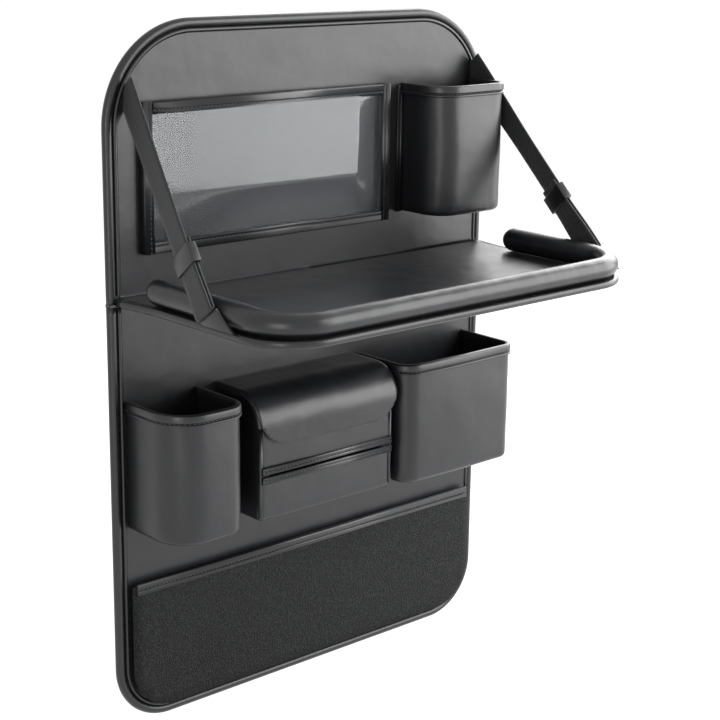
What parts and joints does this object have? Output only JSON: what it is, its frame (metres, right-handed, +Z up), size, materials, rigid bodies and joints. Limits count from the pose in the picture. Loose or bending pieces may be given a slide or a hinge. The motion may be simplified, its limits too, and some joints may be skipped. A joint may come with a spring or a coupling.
{
  "type": "car seat back organizer",
  "caption": "Leatherette panel for the back of a car seat, with a padded fold-down tray on webbing straps, a window pocket, cups, a box pocket, a flap-top tissue box and a mesh pocket.",
  "frame": {"origin": "middle of the panel's back, on the lower backing where it lies against the seat", "axes": "+Z up along the panel's height, +Y into the seat, +X to the right as the passenger sees it"},
  "size_m": [0.44, 0.227, 0.62],
  "materials": {
    "leatherette": "semi-gloss charcoal leatherette with a fine grain",
    "binding_tape": "semi-gloss leatherette tape with a stitched edge",
    "lining": "matt black backing cloth",
    "stiffener": "plain fibre board, hidden inside",
    "clear_film": "clear glossy film",
    "mesh_cloth": "black fine mesh cloth",
    "webbing": "black woven webbing",
    "slider_plastic": "black satin plastic"
  },
  "bodies": {
    "panel": {"upper_backing": "lining", "lower_backing": "lining", "upper_stiffener": "stiffener", "lower_stiffener": "stiffener", "upper_skin": "leatherette", "lower_skin": "leatherette", "upper_edge_binding": "leatherette", "lower_edge_binding": "leatherette", "upper_inner_piping": "binding_tape", "lower_inner_piping": "binding_tape", "window_film": "clear_film", "window_left_binding": "binding_tape", "window_right_binding": "binding_tape", "window_bottom_binding": "binding_tape", "window_top_binding": "binding_tape", "upper_cup_wall": "leatherette", "upper_cup_base": "leatherette", "upper_cup_rim": "binding_tape", "left_cup_wall": "leatherette", "left_cup_base": "leatherette", "left_cup_rim": "binding_tape", "box_pocket_wall": "leatherette", "box_pocket_base": "leatherette", "box_pocket_rim": "binding_tape", "tissue_box_wall": "leatherette", "tissue_box_base": "leatherette", "slit_upper_lip": "binding_tape", "slit_lower_lip": "binding_tape", "mesh_pocket_cloth": "mesh_cloth", "mesh_pocket_binding": "binding_tape", "tray_hinge": "leatherette", "left_strap": "webbing", "left_slider": "slider_plastic", "right_strap": "webbing", "right_slider": "slider_plastic", "hanging_strap": "webbing", "hanging_slider": "slider_plastic"},
    "tray": {"tray_top_skin": "leatherette", "tray_board": "stiffener", "tray_bottom_skin": "leatherette", "tray_piping": "leatherette", "tray_bumper": "leatherette", "left_tab": "leatherette", "right_tab": "leatherette"},
    "flap": {"tissue_flap": "leatherette"}
  },
  "joints": [
    {"name": "tray_fold", "type": "hinge", "parent": "panel", "child": "tray", "pos_m": [0, -0.0137, 0.0824], "axis": [-1, 0, 0], "range_deg": [0, 84], "deforming": ["left_strap", "right_strap", "left_slider", "right_slider", "tray_bumper", "upper_cup_wall", "upper_cup_base", "upper_cup_rim"]},
    {"name": "tissue_flap_lift", "type": "hinge", "parent": "panel", "child": "flap", "pos_m": [0, -0.008, -0.0067], "axis": [-1, 0, 0], "range_deg": [0, 90]}
  ]
}
